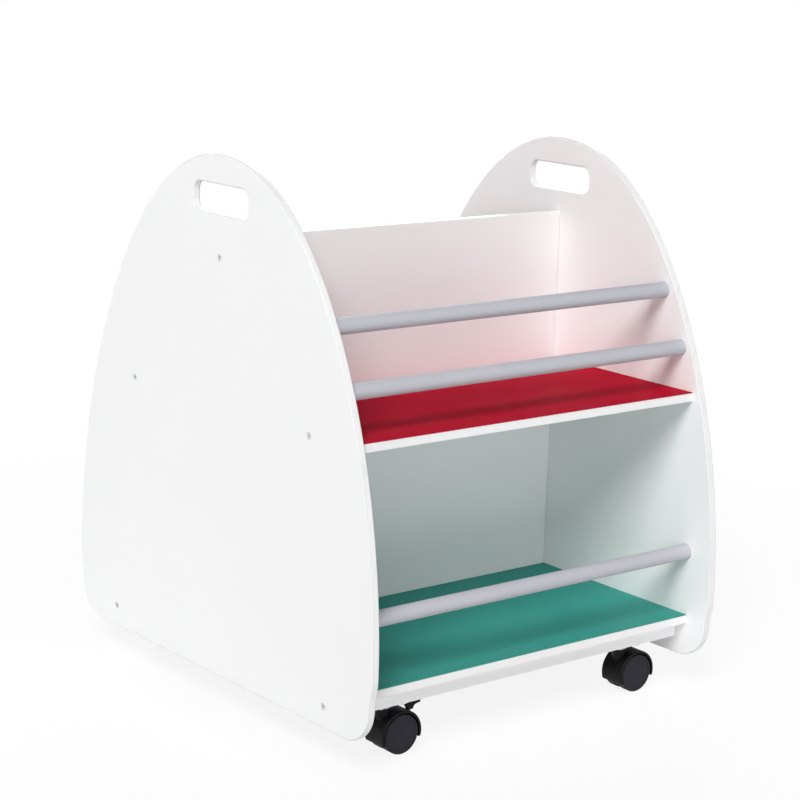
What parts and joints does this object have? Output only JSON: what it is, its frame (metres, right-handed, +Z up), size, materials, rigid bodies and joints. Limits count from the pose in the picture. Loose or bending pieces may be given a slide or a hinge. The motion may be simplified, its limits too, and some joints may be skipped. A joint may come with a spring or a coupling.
{
  "type": "mobile bookcase",
  "caption": "Double-sided mobile bookcase with egg-shaped side panels, a display shelf behind round bars over a lower shelf, and twin-wheel swivel casters.",
  "frame": {"origin": "on the floor, under the middle of the case", "axes": "+Z up; +X to the right of someone who faces the front; the front looks along -Y"},
  "size_m": [0.561, 0.641, 0.6984],
  "materials": {
    "white_board": "satin white melamine",
    "red_laminate": "glossy",
    "green_laminate": "glossy",
    "grey_tube": "satin grey paint",
    "zinc_screw": "zinc plated",
    "beech_dowel": "bare beech",
    "black_nylon": "satin",
    "wheel_nylon": "matt",
    "caster_steel": "bright zinc"
  },
  "bodies": {
    "case": {"bottom_shelf": "white_board", "front_bottom_laminate": "green_laminate", "front_left_plate": "caster_steel", "front_lower_bar": "grey_tube", "front_mid_laminate": "red_laminate", "front_middle_bar": "grey_tube", "front_rail": "white_board", "front_right_plate": "caster_steel", "front_upper_bar": "grey_tube", "left_divider_screw": "zinc_screw", "left_front_rail_screw": "zinc_screw", "left_front_shelf_screw": "zinc_screw", "left_panel": "white_board", "left_rear_rail_screw": "zinc_screw", "left_rear_shelf_screw": "zinc_screw", "lower_divider": "white_board", "lower_divider_foot_dowel_left": "beech_dowel", "lower_divider_foot_dowel_right": "beech_dowel", "lower_divider_head_dowel_left": "beech_dowel", "lower_divider_head_dowel_right": "beech_dowel", "mid_shelf": "white_board", "rear_bottom_laminate": "green_laminate", "rear_left_plate": "caster_steel", "rear_lower_bar": "grey_tube", "rear_mid_laminate": "red_laminate", "rear_middle_bar": "grey_tube", "rear_rail": "white_board", "rear_right_plate": "caster_steel", "rear_upper_bar": "grey_tube", "right_divider_screw": "zinc_screw", "right_front_rail_screw": "zinc_screw", "right_front_shelf_screw": "zinc_screw", "right_panel": "white_board", "right_rear_rail_screw": "zinc_screw", "right_rear_shelf_screw": "zinc_screw", "upper_divider": "white_board", "upper_divider_foot_dowel_left": "beech_dowel", "upper_divider_foot_dowel_right": "beech_dowel"},
    "front_left_caster": {"front_left_hood": "black_nylon", "front_left_axle": "caster_steel"},
    "front_left_wheel_a": {"front_left_wheel_a": "wheel_nylon"},
    "front_left_wheel_b": {"front_left_wheel_b": "wheel_nylon"},
    "front_left_pedal": {"front_left_pedal": "black_nylon"},
    "front_right_caster": {"front_right_hood": "black_nylon", "front_right_axle": "caster_steel"},
    "front_right_wheel_a": {"front_right_wheel_a": "wheel_nylon"},
    "front_right_wheel_b": {"front_right_wheel_b": "wheel_nylon"},
    "rear_left_caster": {"rear_left_hood": "black_nylon", "rear_left_axle": "caster_steel"},
    "rear_left_wheel_a": {"rear_left_wheel_a": "wheel_nylon"},
    "rear_left_wheel_b": {"rear_left_wheel_b": "wheel_nylon"},
    "rear_right_caster": {"rear_right_hood": "black_nylon", "rear_right_axle": "caster_steel"},
    "rear_right_wheel_a": {"rear_right_wheel_a": "wheel_nylon"},
    "rear_right_wheel_b": {"rear_right_wheel_b": "wheel_nylon"},
    "rear_right_pedal": {"rear_right_pedal": "black_nylon"}
  },
  "joints": [
    {"name": "front_left_swivel", "type": "hinge", "parent": "case", "child": "front_left_caster", "pos_m": [-0.1967, -0.2371, 0.05878], "axis": [0, 0, 1], "continuous": true},
    {"name": "front_left_wheel_a_spin", "type": "hinge", "parent": "front_left_caster", "child": "front_left_wheel_a", "pos_m": [-0.1797, -0.2371, 0.025], "axis": [0, 1, 0], "continuous": true},
    {"name": "front_left_wheel_b_spin", "type": "hinge", "parent": "front_left_caster", "child": "front_left_wheel_b", "pos_m": [-0.1797, -0.2371, 0.025], "axis": [0, 1, 0], "continuous": true},
    {"name": "front_left_pedal_tilt", "type": "hinge", "parent": "front_left_caster", "child": "front_left_pedal", "pos_m": [-0.15949, -0.2371, 0.04521], "axis": [0, 1, 0], "range_deg": [0, 12]},
    {"name": "front_right_swivel", "type": "hinge", "parent": "case", "child": "front_right_caster", "pos_m": [0.1967, -0.2371, 0.05878], "axis": [0, 0, 1], "continuous": true},
    {"name": "front_right_wheel_a_spin", "type": "hinge", "parent": "front_right_caster", "child": "front_right_wheel_a", "pos_m": [0.2137, -0.2371, 0.025], "axis": [0, 1, 0], "continuous": true},
    {"name": "front_right_wheel_b_spin", "type": "hinge", "parent": "front_right_caster", "child": "front_right_wheel_b", "pos_m": [0.2137, -0.2371, 0.025], "axis": [0, 1, 0], "continuous": true},
    {"name": "rear_left_swivel", "type": "hinge", "parent": "case", "child": "rear_left_caster", "pos_m": [-0.1967, 0.2371, 0.05878], "axis": [0, 0, 1], "continuous": true},
    {"name": "rear_left_wheel_a_spin", "type": "hinge", "parent": "rear_left_caster", "child": "rear_left_wheel_a", "pos_m": [-0.1797, 0.2371, 0.025], "axis": [0, 1, 0], "continuous": true},
    {"name": "rear_left_wheel_b_spin", "type": "hinge", "parent": "rear_left_caster", "child": "rear_left_wheel_b", "pos_m": [-0.1797, 0.2371, 0.025], "axis": [0, 1, 0], "continuous": true},
    {"name": "rear_right_swivel", "type": "hinge", "parent": "case", "child": "rear_right_caster", "pos_m": [0.1967, 0.2371, 0.05878], "axis": [0, 0, 1], "continuous": true},
    {"name": "rear_right_wheel_a_spin", "type": "hinge", "parent": "rear_right_caster", "child": "rear_right_wheel_a", "pos_m": [0.2137, 0.2371, 0.025], "axis": [0, 1, 0], "continuous": true},
    {"name": "rear_right_wheel_b_spin", "type": "hinge", "parent": "rear_right_caster", "child": "rear_right_wheel_b", "pos_m": [0.2137, 0.2371, 0.025], "axis": [0, 1, 0], "continuous": true},
    {"name": "rear_right_pedal_tilt", "type": "hinge", "parent": "rear_right_caster", "child": "rear_right_pedal", "pos_m": [0.23391, 0.2371, 0.04521], "axis": [0, 1, 0], "range_deg": [0, 12]}
  ]
}
